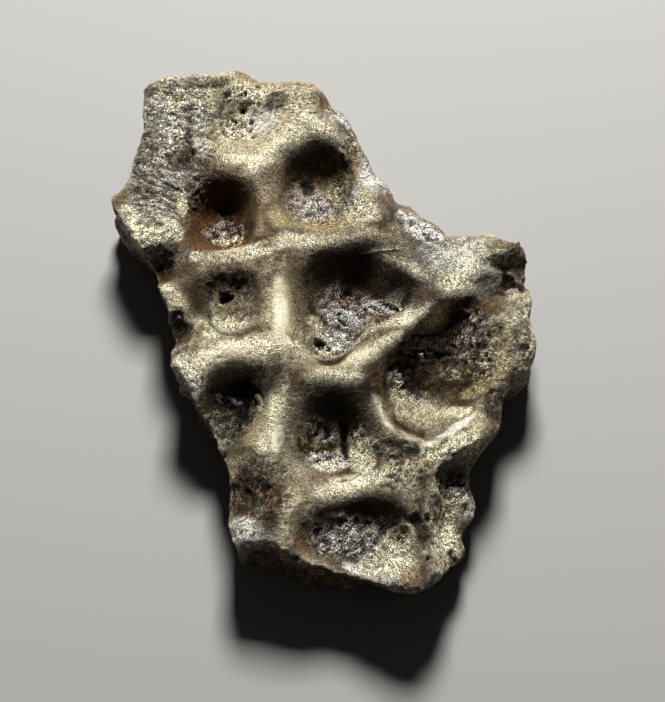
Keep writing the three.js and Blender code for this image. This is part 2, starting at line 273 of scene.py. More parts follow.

# Patches of the face, region by region; later ones lie over earlier ones. Each has a name, a
# middle x and y, two half sizes, a turn in degrees, a colour and a cover from 0 to 1. Crusts have a
# kind of surface too, and stains leave it out. Some pale patches are painted highlights and painted
# light, and some dark ones painted shade on the walls of the pits.
PATCHES = [
    # weathered plateau
    ("whole plateau", -14.6, 17.5, 4.4, 9.5, -12, "chalk", 0.9, "streaked"),
    ("left edge", -16.9, 17.4, 1.1, 3.8, -14, "dark", 0.75, "granular"),
    ("upper edge", -12.0, 24.9, 3.6, 0.9, 0, "dark", 0.85, "granular"),
    ("pale middle", -14.0, 19.0, 0.8, 2.4, -8, "pale", 0.85, "granular"),
    ("white spot", -11.9, 20.8, 0.8, 1.4, 0, "white", 0.85, "granular"),
    ("pale spot", -14.0, 23.2, 1.0, 1.0, 0, "pale", 0.9, "granular"),
    ("light spot at the edge", -14.5, 25.2, 1.4, 0.8, 20, "ivory", 0.6, "granular"),
    ("upper left corner", -16.3, 24.4, 1.1, 0.9, 60, "olive", 0.7, "granular"),
    ("grey spot", -13.0, 21.7, 1.1, 0.9, 40, "grey", 0.9, "granular"),
    ("chalk crumbs", -12.0, 19.8, 0.7, 1.4, -20, "chalk", 0.6, "granular"),
    ("channel", -12.9, 18.8, 0.5, 2.4, -8, "olive", 0.85),
    ("dark spot", -14.0, 16.9, 1.2, 1.0, 25, "dark", 0.75, "granular"),
    ("edge of the rusty pit", -12.2, 16.2, 2.4, 0.9, -12, "dark", 0.8, "granular"),
    ("brown stain", -17.0, 13.3, 2.0, 0.9, -15, "umber", 0.6, "granular"),
    ("foot", -17.3, 8.7, 2.7, 1.9, -30, "pale", 1.0, "sandy"),
    ("stain above the foot", -16.4, 9.9, 2.0, 0.5, -5, "umber", 0.8),
    ("left tip", -18.8, 11.2, 1.1, 0.9, 0, "ivory", 0.9, "sandy"),
    # top dish
    ("front rim", -7.0, 17.4, 3.8, 1.6, 14, "cream", 0.8),
    # Painted highlight along the front rim of the top dish.
    ("bright front rim", -4.9, 16.9, 3.6, 0.7, 34, "pale", 0.9),
    ("left slope", -10.4, 18.8, 0.7, 1.8, 20, "straw", 0.8),
    ("ridge on the right", -3.0, 19.0, 2.1, 1.5, 10, "ivory", 0.95),
    ("ridge right of the rusty pit", -6.0, 14.8, 0.7, 1.8, 5, "ivory", 0.7),
    # Painted shade, with some stain, on the upper edge of the rusty pit.
    ("upper edge of the rusty pit", -9.8, 14.7, 2.4, 0.9, -6, "dark", 0.9),
    ("stain right of the rusty pit", -5.4, 14.8, 0.8, 1.0, 0, "umber", 0.7),
    # Painted highlight on the crest above the rusty pit.
    ("crest above the rusty pit", -8.3, 16.6, 1.8, 0.5, -10, "pale", 0.8),
    ("foot of the front rim", -6.6, 15.9, 0.9, 0.9, 15, "pale", 0.8),
    ("bowl", -7.1, 22.0, 3.6, 3.4, 0, "straw", 0.85),
    ("front of the bowl", -7.6, 18.9, 2.4, 0.9, 0, "cream", 0.8),
    ("chalk in the bowl", -7.8, 21.9, 2.2, 3.0, 0, "pale", 1.0, "sandy"),
    ("smooth right side", -5.8, 21.4, 1.6, 2.0, 0, "white", 0.7, "polished"),
    ("dark left wall", -9.2, 22.2, 1.0, 1.5, 0, "olive", 0.9),
    ("front crumbs", -7.8, 20.3, 1.7, 1.3, -10, "pale", 0.9, "granular"),
    ("green spot", -6.2, 22.2, 0.8, 0.4, 35, "green grey", 0.5),
    ("upper crumbs", -6.5, 23.5, 1.5, 0.9, 0, "pale", 0.9, "sandy"),
    # upper edge and the slope to its right
    ("upper crest", -2.4, 22.6, 2.2, 2.2, -20, "cream", 0.8, "sandy"),
    ("wear on the upper crest", -0.7, 20.3, 2.3, 0.8, -38, "pale", 0.9),
    ("wear right of the top dish", -3.6, 18.3, 1.7, 1.2, 40, "pale", 0.85),
    ("olive stain on the crest", -0.8, 23.0, 0.5, 1.2, 10, "olive", 0.7),
    ("amber stain on the crest", -2.6, 24.7, 1.8, 0.5, -5, "amber", 0.7),
    ("stain right of the top dish", -4.4, 22.9, 1.2, 1.1, 0, "dark", 0.85, "sandy"),
    ("olive stain", -0.2, 21.2, 0.7, 0.8, 40, "olive", 0.7),
    ("chalk", 2.3, 21.2, 1.3, 1.4, -35, "white", 0.95, "sandy"),
    ("stain below the chalk", 2.0, 20.2, 1.1, 0.4, -30, "umber", 0.8),
    ("grey spot", 2.2, 18.8, 0.8, 0.7, -30, "grey", 0.8),
    ("crystals on the edge", 2.9, 18.5, 0.9, 2.3, -25, "ivory", 0.9, "crumbly"),
    ("crystals beside the chalk", 1.0, 22.2, 0.9, 0.9, -40, "ivory", 0.9, "granular"),
    # Painted shadow on the upper wall of the upper right pit.
    ("stain beside the resin", 2.5, 16.6, 0.8, 1.5, -5, "dark", 0.9),
    ("white slope", 4.7, 15.2, 1.4, 2.3, 30, "white", 0.95, "sandy"),
    ("resin", 3.3, 16.5, 0.6, 1.5, 12, "amber", 0.85),
    ("dark slope", 7.0, 11.2, 1.3, 2.7, 32, "dark", 0.9),
    ("slope above the wing", 10.0, 6.6, 2.6, 1.3, -24, "dark", 0.9),
    # upper right pit
    ("walls", -0.5, 15.6, 4.2, 3.4, 0, "umber", 0.7),
    # Painted shade, with some stain, on the upper wall.
    ("upper wall", -3.0, 17.4, 1.7, 0.9, -10, "dark", 0.8),
    ("left wall", -4.3, 13.8, 0.8, 2.2, 8, "bone", 0.6),
    ("floor", -0.7, 12.9, 3.1, 2.4, 0, "rose", 0.8, "sandy"),
    ("white crumbs", -0.5, 12.8, 1.4, 1.5, 10, "white", 0.7, "granular"),
    # Painted light: the right side of the pit is lightened as if lit.
    ("cream side", 1.7, 14.6, 1.3, 1.9, 0, "cream", 0.9, "sandy"),
    ("bright side", 3.1, 12.7, 0.7, 1.4, -10, "white", 0.85, "sandy"),
    ("front", -0.2, 10.6, 3.6, 1.4, 5, "straw", 0.8, "sandy"),
    ("left shoulder", -3.6, 10.6, 1.4, 1.4, 0, "straw", 0.7),
    ("shade in front", -2.4, 9.1, 1.7, 0.6, 8, "dark", 0.65),
    ("right shoulder", 3.8, 11.3, 1.9, 1.3, -35, "ivory", 0.95, "sandy"),
    ("crest in front", -0.2, 8.1, 4.2, 0.6, 6, "ivory", 0.85),
    # rusty pit
    ("walls", -9.8, 11.6, 3.9, 4.3, 0, "rust", 0.85),
    ("left wall", -12.7, 10.2, 1.1, 3.2, 12, "umber", 0.8),
    ("right wall", -6.5, 12.2, 0.9, 2.2, 4, "umber", 0.8),
    ("floor", -9.3, 10.4, 2.1, 1.3, 0, "rose", 0.95, "granular"),
    ("orange patch", -8.2, 8.9, 1.5, 0.8, 15, "orange", 0.9, "granular"),
    ("front floor", -8.4, 9.5, 1.3, 0.6, 12, "ivory", 0.7, "granular"),
    ("ivory grains", -9.4, 9.9, 1.2, 0.8, 10, "ivory", 0.8, "granular"),
    ("front wall", -11.4, 8.3, 1.5, 1.0, -40, "rust", 0.6),
    ("wear on the left rim", -13.4, 12.3, 0.5, 1.4, 5, "ivory", 0.75, "sandy"),
    ("wear left of the front wall", -14.2, 9.2, 0.9, 1.2, 20, "ivory", 0.7, "sandy"),
    ("dark side", -7.1, 9.8, 0.6, 1.2, 10, "dark", 0.7),
    ("crest in front", -7.2, 6.8, 4.2, 0.8, 10, "pale", 0.85, "sandy"),
    ("wear on the front rim", -8.6, 7.6, 1.2, 0.7, 0, "ivory", 0.8),
    ("wear on the crest", -6.2, 6.8, 1.6, 0.7, 5, "pale", 0.8),
    ("crest on the right", -3.1, 7.8, 1.2, 0.8, 15, "ivory", 0.85),
    ("stain between the crests", -5.0, 7.5, 0.9, 0.6, 0, "umber", 0.75),
    # left edge
    ("upper hollow", -15.2, 6.8, 2.6, 1.4, -10, "dark", 0.7, "granular"),
    ("grains", -14.8, 2.6, 1.0, 1.2, 20, "ivory", 0.95, "sandy"),
    ("stain above the grains", -14.6, 4.9, 1.1, 0.7, 0, "dark", 0.8),
    ("lower hollow", -13.4, -0.7, 1.4, 1.8, 0, "dark", 0.9, "granular"),
    ("crumbs", -13.2, -5.1, 1.1, 0.8, 15, "white", 0.9, "sandy"),
    ("stain above the crumbs", -13.2, -2.9, 1.1, 0.8, 0, "rose", 0.8, "granular"),
    ("white end", -13.0, -6.0, 2.2, 1.8, 20, "white", 1.0, "sandy"),
    # left pit
    ("walls", -8.6, 3.3, 3.7, 3.6, 0, "umber", 0.8),
    ("stain on the right", -4.5, 3.9, 1.0, 1.0, 0, "umber", 0.6),
    ("floor", -8.4, 1.9, 2.4, 2.6, 0, "bone", 0.85, "sandy"),
    ("dark floor", -8.9, 3.8, 1.9, 1.3, 0, "umber", 0.7, "granular"),
    ("front slope", -9.0, 0.1, 3.2, 0.8, 0, "ivory", 0.85),
    ("wear left of the step", -10.4, -1.5, 0.9, 0.8, 0, "ivory", 0.85, "sandy"),
    ("crest beside the front slope", -5.2, -2.8, 2.6, 0.9, 4, "pale", 0.9),
    ("crest left of the centre pit", -1.6, -3.2, 1.2, 0.9, 0, "ivory", 0.7),
    ("outer side", -12.3, 3.1, 1.1, 3.0, 6, "dark", 0.85),
    ("stain on the left rim", -12.8, 4.9, 1.2, 1.1, 0, "umber", 0.75),
    ("wear above the left rim", -11.9, 6.5, 0.7, 0.6, 0, "ivory", 0.8, "sandy"),
    # Painted light on the crest's slope that faces away from the lamp, and a painted highlight.
    ("crest in front", -9.6, -4.2, 4.6, 1.6, 16, "pale", 1.0),
    ("polish on that crest", -8.8, -3.8, 3.0, 1.0, 8, "pale", 0.7, "polished"),
    ("stain beside the polish", -12.0, -3.0, 0.8, 0.7, 0, "umber", 0.6),
    # Painted highlight down the column, on a polished surface.
    ("column on the right", -3.7, 0.8, 1.1, 3.4, 4, "cream", 0.9, "polished"),
    ("polish on the column", -3.7, 0.6, 0.6, 1.8, 4, "pale", 0.5, "polished"),
    # centre pit
    # Painted shade, with some stain, on the walls.
    ("walls", 3.4, 3.5, 5.2, 4.4, 25, "dark", 0.7),
    ("rose floor", 2.2, 3.2, 2.4, 2.2, 0, "rose", 0.75, "granular"),
    ("white floor", 2.6, 1.4, 2.2, 1.2, -25, "white", 1.0, "fibrous"),
    ("right floor", 5.3, 2.5, 2.4, 0.7, -8, "white", 0.95, "fibrous"),
    ("right slope", 7.0, 5.0, 3.4, 1.3, -30, "dark", 0.7),
    ("hair", 5.5, 7.1, 1.9, 0.10, -5, "ivory", 0.6),
    ("crest above the right slope", 8.2, 5.3, 2.8, 0.5, -33, "ivory", 0.85),
    ("inner side of the right crest", 6.6, 2.9, 1.2, 0.6, 25, "ivory", 0.6),
    # Painted shade, with some stain, along the upper edge.
    ("upper edge", 3.0, 7.6, 3.0, 0.8, 8, "dark", 0.8),
    ("brown front floor", 4.4, 0.7, 2.4, 0.6, 25, "umber", 0.7, "sandy"),
    ("foot", 0.5, -1.2, 2.2, 1.9, 0, "cream", 0.8, "sandy"),
    ("wear behind the foot", -0.8, 0.9, 0.9, 0.7, 0, "ivory", 0.8, "sandy"),
    ("crumbs right of the opening", 1.6, -0.9, 1.6, 1.5, -20, "white", 0.95, "granular"),
    ("front slope", 3.9, -3.6, 2.0, 0.9, 24, "pale", 0.7),
    ("left wall", -2.2, 1.2, 0.8, 4.2, 5, "bone", 0.7),
    ("slope to the right pit", 5.2, -0.6, 3.4, 1.0, 32, "cream", 0.7, "sandy"),
    ("crest beside the right pit", 7.2, 0.5, 3.6, 0.7, 24, "ivory", 0.85),
    ("stain above the right pit", 6.0, -0.8, 2.6, 0.8, 22, "umber", 0.85),
    ("wear above the right pit", 8.0, 1.1, 1.7, 0.9, 20, "pale", 0.9),
    ("wear left of the right pit", 6.1, -2.0, 1.5, 0.7, 40, "ivory", 0.8),
    ("crest in front", 1.2, -5.9, 2.6, 0.7, 4, "pale", 0.75),
    ("shade below that crest", 3.4, -7.1, 3.6, 0.8, -4, "dark", 0.8),
    ("left edge of the right pit", 4.7, -6.4, 1.0, 2.2, 0, "dark", 0.85),
    ("shade left of that crest", -4.0, -5.3, 1.7, 0.8, 5, "dark", 0.7),
    # wing
    ("top", 13.3, 5.8, 3.6, 2.8, -14, "chalk", 0.9),
    ("pale middle", 14.0, 5.3, 1.9, 1.2, -20, "pale", 0.45),
    ("crest in front", 11.6, 3.6, 1.0, 1.0, -20, "ivory", 0.8),
    ("wear on the front", 13.2, 4.0, 1.7, 0.8, 20, "pale", 0.85),
    ("right tip of the centre pit", 9.8, 2.4, 1.5, 0.6, 30, "umber", 0.85),
    ("wear below that tip", 10.9, 1.1, 2.2, 0.8, 35, "pale", 0.95),
    ("speckles", 11.4, 8.0, 1.6, 0.6, 0, "bone", 0.7, "granular"),
    ("valley", 16.2, 3.0, 1.8, 1.4, 30, "dark", 0.8),
    ("upper end of the valley", 16.5, 5.2, 1.3, 0.8, 30, "olive", 0.8),
    ("furrow", 17.9, 7.6, 2.2, 1.0, 14, "umber", 0.85, "granular"),
    ("stain at the tip", 19.3, 7.6, 1.0, 0.8, 0, "umber", 0.85),
    ("wear beside the furrow", 16.4, 6.7, 1.5, 0.6, 0, "ivory", 0.85),
    ("hollow", 17.6, 3.7, 1.5, 1.3, 0, "dark", 0.9, "crumbly"),
    ("lower end of the valley", 16.1, 1.6, 2.4, 0.9, 10, "umber", 0.95),
    ("edge of the hollow", 18.8, 3.9, 1.0, 0.9, 0, "black", 0.9),
    ("rose spot in the hollow", 17.9, 3.1, 0.8, 0.7, 0, "rose", 0.8, "granular"),
    ("right margin", 19.2, -0.6, 1.1, 3.4, 2, "ivory", 0.85, "sandy"),
    ("stain on the margin", 19.6, 0.2, 0.6, 0.6, 0, "dark", 0.8),
    ("chalk on the margin", 19.6, 2.3, 0.7, 1.1, 0, "pale", 0.9, "sandy"),
    ("lower end of the margin", 18.8, -4.4, 1.0, 1.4, 0, "ivory", 0.95, "sandy"),
    ("shade on the margin", 18.9, -1.5, 0.9, 1.8, 0, "dark", 0.85, "granular"),
    ("slope inside the margin", 16.5, -4.4, 1.5, 3.0, 20, "straw", 0.7, "sandy"),
    # right pit
    ("upper arm", 13.3, 1.8, 2.0, 1.0, 30, "dark", 0.85),
    ("brown floor", 13.4, -2.4, 3.2, 3.8, 0, "umber", 0.9, "granular"),
    ("rose streaks", 13.9, -0.9, 2.4, 1.6, 60, "rose", 0.75, "granular"),
    ("streak on the brown floor", 12.3, -3.8, 1.2, 0.6, -10, "cream", 0.85, "streaked"),
    ("dark floor", 8.4, -4.6, 2.2, 1.9, 30, "black", 1.0, "granular"),
    # Painted shade: the middle floor lies in the shadow of the diagonal ridge.
    ("middle floor", 10.2, -1.4, 2.8, 1.6, 20, "black", 0.95, "streaked"),
    ("stain on the right floor", 12.6, -0.4, 0.7, 0.5, 0, "dark", 0.8),
    ("lower floor", 10.4, -5.3, 1.3, 1.3, 0, "dark", 0.85),
    # Painted shade, with some stain, on the upper left wall.
    ("dark wall", 6.4, -3.4, 2.6, 1.2, 45, "dark", 0.85),
    ("lower edge", 16.2, -8.2, 1.3, 2.2, -15, "dark", 0.9, "granular"),
    ("stain beside the lower edge", 15.3, -6.4, 0.7, 1.3, 0, "dark", 0.7),
    ("glints of the dark floor", 7.2, -4.8, 0.4, 1.0, 0, "white", 0.9, "granular"),
    ("glints of the middle floor", 9.5, -2.4, 0.7, 0.2, -20, "chalk", 0.8, "granular"),
    ("straw floor", 15.0, -4.0, 1.3, 1.7, 10, "straw", 0.8, "granular"),
    ("ivory right floor", 15.9, -3.0, 0.9, 1.6, 10, "ivory", 0.8, "granular"),
    ("straw slope", 14.2, -6.2, 1.3, 1.0, 10, "straw", 0.8, "sandy"),
    ("tongue", 10.0, -8.2, 3.1, 1.8, -24, "cream", 0.8),
    ("chalk at the left of the tongue", 8.2, -6.3, 1.3, 0.6, -25, "chalk", 0.85, "sandy"),
    ("pale right end of the tongue", 12.3, -8.3, 1.3, 0.7, -10, "pale", 0.6),
    ("left end of the tongue", 6.2, -8.3, 1.2, 0.7, -20, "cream", 0.8, "sandy"),
    ("inner crescent", 7.3, -6.4, 0.8, 1.7, 15, "cream", 0.9),
    ("wear inside the crescent", 8.3, -11.3, 1.1, 0.5, -35, "pale", 0.8),
    ("crest outside the crescent", 5.6, -9.5, 0.7, 1.6, 25, "ivory", 0.85),
    ("pale edge", 13.2, -8.9, 0.8, 0.5, 35, "pale", 0.85, "sandy"),
    ("groove", 7.3, -9.9, 0.5, 3.0, 38, "umber", 0.6),
    ("front crest", 12.0, -12.8, 2.6, 0.9, 28, "straw", 0.7, "granular"),
    ("wear on the front crest", 12.6, -12.9, 2.8, 1.1, 28, "pale", 0.9, "sandy"),
    ("wear beside the pocked patch", 10.0, -13.4, 1.0, 0.8, 0, "pale", 0.85, "sandy"),
    # Painted highlight along the crescent, on a polished surface.
    ("polish along the crescent", 12.0, -11.0, 2.6, 0.5, 32, "white", 0.7, "polished"),
    ("stain inside the crescent", 10.3, -11.8, 1.1, 0.4, -10, "umber", 0.7),
    # lower left pit
    # Painted shade, with some stain, on the walls.
    ("walls", -8.0, -7.0, 3.6, 2.6, 0, "black", 0.85),
    ("floor", -8.9, -9.4, 2.4, 1.8, 0, "olive", 0.9, "granular"),
    ("dark right floor", -7.0, -7.4, 1.6, 1.9, 0, "black", 0.95, "granular"),
    ("grey floor", -8.0, -9.6, 1.2, 0.7, 0, "green grey", 0.85, "granular"),
    ("glints", -8.9, -6.9, 1.2, 0.3, -10, "chalk", 0.7, "granular"),
    ("green floor", -9.6, -10.4, 1.8, 1.2, -40, "green grey", 0.85, "granular"),
    ("front slope", -8.4, -13.0, 1.8, 1.0, 10, "dark", 0.8),
    ("straw side", -6.6, -10.9, 0.7, 1.2, 0, "straw", 0.8),
    ("crest on the right", -4.2, -9.0, 0.9, 2.6, -8, "pale", 0.85),
    ("slope below the crest", -5.8, -9.0, 0.8, 2.4, 0, "cream", 0.8),
    ("shade at the crest's top", -4.2, -6.1, 0.9, 1.4, 0, "dark", 0.8),
    # Painted highlight on the crest's foot, on a polished surface.
    ("polish on the crest's foot", -4.1, -12.0, 0.6, 1.5, -10, "pale", 0.85, "polished"),
    ("wear beside the crest's foot", -5.3, -12.6, 0.8, 1.0, 0, "ivory", 0.8),
    ("dark slope in front", -5.9, -17.1, 2.8, 3.6, 0, "dark", 0.8, "granular"),
    ("brown side of the dark slope", -4.4, -17.8, 1.1, 2.2, 0, "umber", 0.8),
    # lower middle pit
    # Painted shade, with some stain, on the back wall.
    ("back wall", 0.8, -7.6, 2.8, 1.9, 0, "black", 0.75),
    ("left wall", -2.8, -11.4, 1.6, 3.9, -10, "olive", 0.8),
    ("floor", -0.2, -11.2, 2.2, 1.8, 0, "bone", 0.8, "granular"),
    ("crumbs", 0.0, -10.0, 1.6, 1.0, 0, "chalk", 0.7, "granular"),
    ("dark left floor", -1.4, -12.3, 0.9, 0.9, 0, "dark", 0.85),
    ("white front floor", 0.8, -13.1, 2.4, 1.2, 4, "white", 0.95, "granular"),
    ("ivory right floor", 3.3, -10.5, 0.9, 0.9, 0, "ivory", 0.85, "granular"),
    ("right wall", 4.9, -10.8, 1.6, 2.5, 15, "olive", 0.6),
    ("right slope", 3.8, -12.3, 1.5, 1.3, 15, "ivory", 0.85, "sandy"),
    ("front crest", 3.4, -15.9, 3.6, 0.8, 10, "pale", 0.8),
    ("foot of the front crest", 1.6, -17.2, 2.2, 0.8, 10, "pale", 0.85),
    ("stain on the front crest", -0.3, -15.8, 1.3, 0.8, 0, "umber", 0.75),
    ("front right corner", 4.0, -13.9, 1.2, 1.0, 20, "ivory", 0.8, "sandy"),
    ("inner side of the front crest", 0.4, -13.8, 1.4, 0.8, 5, "pale", 0.85),
    ("wear at the corner", 4.9, -15.4, 0.9, 0.8, 0, "chalk", 0.8, "sandy"),
    ("ridge left of the front crest", -2.6, -16.0, 1.6, 2.0, 30, "bone", 0.6),
    ("pocked patch", 7.4, -15.0, 2.2, 2.2, 0, "cream", 0.8, "pocked"),
    ("dark above the pocked patch", 6.8, -13.0, 2.6, 1.1, -14, "black", 0.95, "granular"),
    ("dark beside the pocked patch", 9.8, -16.4, 1.4, 1.3, 0, "black", 0.9),
    # front pit
    # Painted shade, with some stain, on the walls.
    ("walls", 3.4, -18.8, 4.9, 1.6, 6, "dark", 0.85),
    ("floor", 3.4, -21.0, 4.7, 2.2, -8, "chalk", 0.85, "granular"),
    ("left crumbs", -0.5, -21.7, 1.3, 0.8, -10, "chalk", 0.85, "granular"),
    ("middle crumbs", 1.7, -21.3, 0.9, 0.9, 0, "white", 0.85, "granular"),
    ("olive islet", 2.5, -22.9, 1.2, 0.5, 10, "olive", 0.95),
    ("white crust", 3.4, -24.0, 1.3, 0.6, -30, "white", 0.95, "sandy"),
    ("ring", 7.1, -21.6, 1.9, 1.6, 0, "ivory", 0.85, "sandy"),
    ("inner slope of the ridge", 6.2, -23.4, 2.6, 0.9, -14, "pale", 0.9, "sandy"),
    ("right wall", 9.2, -19.6, 0.8, 2.2, 0, "dark", 0.8),
    ("left edge", -1.8, -21.6, 1.4, 1.9, 0, "umber", 0.95),
    ("front ridge", 6.0, -24.2, 3.2, 1.1, -14, "ivory", 0.8, "sandy"),
    ("crust on the ridge", 6.3, -25.7, 2.4, 0.9, -25, "chalk", 0.7, "sandy"),
    ("stain on the left of the ridge", 1.4, -24.8, 1.8, 0.7, -20, "umber", 0.85),
    ("stain on the right of the ridge", 8.5, -25.5, 1.3, 1.3, 0, "amber", 0.9),
    ("stain left of the front point", 3.4, -25.4, 1.0, 0.6, -10, "dark", 0.9),
    # lower left corner
    ("white corner", -7.2, -21.0, 2.0, 1.4, -8, "chalk", 0.95, "sandy"),
    ("dark beside the white corner", -4.6, -20.6, 1.3, 1.0, 0, "dark", 0.85),
    ("rim of the white corner", -7.2, -22.8, 2.8, 1.1, 0, "white", 1.0, "sandy"),
    ("brown stain", -7.6, -17.4, 1.8, 1.2, 0, "umber", 0.8, "granular"),
    ("crest", -2.8, -19.4, 0.9, 2.4, -14, "cream", 0.6),
    ("short crest on the right", -1.4, -18.9, 1.1, 0.6, 20, "cream", 0.7),
    # crusty terrace at the lower right
    ("whole terrace", 12.0, -19.6, 2.8, 5.8, 0, "cream", 0.9, "lumpy"),
    ("pale middle", 12.0, -21.2, 2.2, 3.2, 0, "pale", 0.9, "sandy"),
    ("dark spot", 12.8, -19.0, 0.9, 1.0, 0, "dark", 0.85),
    ("front end", 11.0, -25.6, 1.6, 1.3, 30, "white", 0.95, "sandy"),
    ("hollow", 12.5, -23.3, 1.3, 1.0, 30, "olive", 0.85),
    ("outer edge", 14.3, -18.6, 0.9, 2.2, 0, "white", 1.0, "sandy"),
    ("stain on the left", 9.4, -20.8, 0.9, 1.1, 0, "dark", 0.9),
    ("shade at the back", 12.6, -14.8, 2.2, 1.2, 12, "dark", 0.8),
    ("top", 13.0, -15.9, 1.2, 0.8, 0, "white", 0.85, "granular"),
    ("dark left side", 9.3, -22.9, 0.8, 2.8, 0, "dark", 0.75),
    ("furrow on the left", 10.3, -18.1, 0.8, 0.9, 0, "olive", 0.85, "sandy"),
    # spongy ledge above the wing
    ("whole ledge", 9.6, 9.6, 2.6, 1.7, -38, "white", 1.0, "lumpy"),
]

# How far outside and inside its outline a patch fades, in shares of its size.
FADE_OF_STAIN = (1.5, 0.35)
FADE_OF_CRUST = (1.2, 0.7)

# Textures of the material, coarse to fine: name, way, kind, size in millimetres, octaves, how much
# it darkens and brightens the bone, and the height of its bumps in millimetres, negative for grooves.
TEXTURES = [
    # clouding of the mineral fill
    ("clouds", "all ways", "FBM", 1.4, 5.0, 0.85, 1.15, 0.0),
    # winding hair-thin creases
    ("creases", "all ways", "RIDGED_MULTIFRACTAL", 0.6, 3.0, 1.25, 0.55, -0.25),
    # fibres that spread from the pits, six times as long as wide
    ("fibres", "from the pits", "FBM", 0.15, 2.0, 0.6, 1.4, 0.10),
    # grit, light and dark grains side by side
    ("grit", "all ways", "FBM", 0.15, 3.0, 0.4, 1.6, 0.22),
    # grain too fine to be seen singly, which breaks up the shine
    ("fine grit", "all ways", "FBM", 0.10, 1.0, 0.3, 1.7, 0.10),
]

# How rough these noises are, and the range of them that goes from dark to bright.
TEXTURE_ROUGHNESS = 0.7
TEXTURE_RANGE = (0.39, 0.61)

# How fast the fibres change along the rim of a pit, away from its middle, and upwards.
FIBRE_SCALE = (1, 0.17, 0.3)

# How strongly the textures show on polished and on crumbling bone.
TEXTURE_STRENGTH = (0.2, 2.0)

# Where the clouds let the worn pale colour and painted highlight of the ridges through.
WORN_AND_HIGHLIGHT_CLOUDS = (0.4, 0.62)

# The roughness rises over this range of the clouds. Chalk is rougher, the floors of pits smoother.
GLOSSY_CLOUDS = (0.3, 0.7)
BONE_ROUGHNESS = (0.28, 0.46)
CHALK_ROUGHNESS = 0.2
FLOOR_ROUGHNESS = -0.18

# Black stains and painted shade are dull: the mirror light rises from the first value to the
# second over this range of lightness of the colour.
STAIN_TO_BONE = (0.0, 0.10)
SHINE = (0.1, 0.5)
REFRACTIVE_INDEX = 1.55

# The lamp: azimuth from +Y to +X and elevation, in degrees, distance and size in metres.
LAMP_AZIMUTH = 3
LAMP_ELEVATION = 46
LAMP_DISTANCE = 0.35
LAMP_SIZE = 0.09


def linear(code):
    """Turns an sRGB hex colour into the linear values that Blender mixes."""
    channels = [int(code[i : i + 2], 16) / 255 for i in (1, 3, 5)]
    return tuple(c / 12.92 if c <= 0.04045 else ((c + 0.055) / 1.055) ** 2.4 for c in channels)


def smoothstep(low, high, values):
    """0 up to low, 1 from high on and a soft rise between them; high may be the smaller one."""
    t = np.clip((values - low) / (high - low), 0, 1)
    return t * t * (3 - 2 * t)


def past(limit, values):
    """The effect of one of the soft limits: 0 up to its first value, and full past its second."""
    low, high, strength = LIMITS[limit]
    return strength * smoothstep(low, high, values)


def lattice(points, size, octaves, shift, stretch=(1, 1, 1)):
    """Soft noise, about -1 to 1, on points in millimetres, with features of the given size."""
    scaled = points / (size * np.array(stretch)) + shift
    values = [noise.fractal(p, 1.0, 2.0, octaves, noise_basis="PERLIN_NEW") for p in scaled.tolist()]
    return np.array(values)


def named_noise(name, places):
    """One of the soft noises of the table, at its strength."""
    strength, *settings = NOISES[name]
    return strength * lattice(places, *settings)


def cells(points, size, shift):
    """Distances to the nearest and the second nearest of scattered seeds, in cell sizes."""
    found = [noise.voronoi(p)[0][:2] for p in (points / size + shift).tolist()]
    return np.array(found)


def turned(x, y, angle):
    """Coordinates in axes turned by an angle in degrees."""
    c, s = math.cos(math.radians(angle)), math.sin(math.radians(angle))
    return x * c + y * s, y * c - x * s


def reach_to_line(x, y, points):
    """Distance in plan from each place to a line through the points."""
    nearest = np.full(len(x), np.inf)
    for (ax, ay), (bx, by) in zip(points, points[1:]):
        dx, dy = bx - ax, by - ay
        along = np.clip(((x - ax) * dx + (y - ay) * dy) / (dx * dx + dy * dy), 0, 1)
        nearest = np.minimum(nearest, np.hypot(x - ax - along * dx, y - ay - along * dy))
    return nearest


def crest_level(x, y):
    """Height of the ridges at a place."""
    return CREST_HEIGHT - CREST_FALL_X * x**2 - CREST_FALL_Y * (y - CREST_MIDDLE_Y) ** 2


def vertex_arrays(mesh):
    """The places, in millimetres, and the normals of a mesh's vertices."""
    count = len(mesh.vertices)
    places = np.empty(count * 3)
    normals = np.empty(count * 3)
    mesh.vertices.foreach_get("co", places)
    mesh.vertex_normals.foreach_get("vector", normals)
    return places.reshape(-1, 3) / MM, normals.reshape(-1, 3)


def move_vertices(mesh, places):
    """Puts the vertices at new places, in millimetres, and never below the resting plane."""
    places[:, 2] = np.maximum(places[:, 2], 0)
    mesh.vertices.foreach_set("co", (places * MM).ravel())
    mesh.update()


def remeshed_bone(settings):
    """A copy of the solid in even small squares, smoothed until its facets are gone."""
    bm = bmesh.new()
    bm.from_mesh(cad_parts["scute"].data)
    bmesh.ops.remove_doubles(bm, verts=bm.verts, dist=WELD * MM)
    rough = bpy.data.meshes.new("rough")
    bm.to_mesh(rough)
    bm.free()
    obj = bpy.data.objects.new("rough", rough)
    bpy.context.scene.collection.objects.link(obj)
    remesh = obj.modifiers.new("Even squares", "REMESH")
    remesh.mode = "VOXEL"
    remesh.voxel_size = settings.mesh_size
    graph = bpy.context.evaluated_depsgraph_get()
    mesh = bpy.data.meshes.new_from_object(obj.evaluated_get(graph))
    mesh.name = "scute_bone"
    bpy.data.objects.remove(obj)
    bm = bmesh.new()
    bm.from_mesh(mesh)
    for _ in range(settings.smoothing):
        smooth(bm)
    refine(bm, lambda places, up: up > FACE_SLOPE)
    smooth(bm)
    refine(bm, near_fine_relief)
    bm.to_mesh(mesh)
    bm.free()
    return mesh


def smooth(bm):
    """Moves each corner half way to the middle of its neighbours."""
    bmesh.ops.smooth_vert(
        bm, verts=bm.verts, factor=0.5, use_axis_x=True, use_axis_y=True, use_axis_z=True
    )


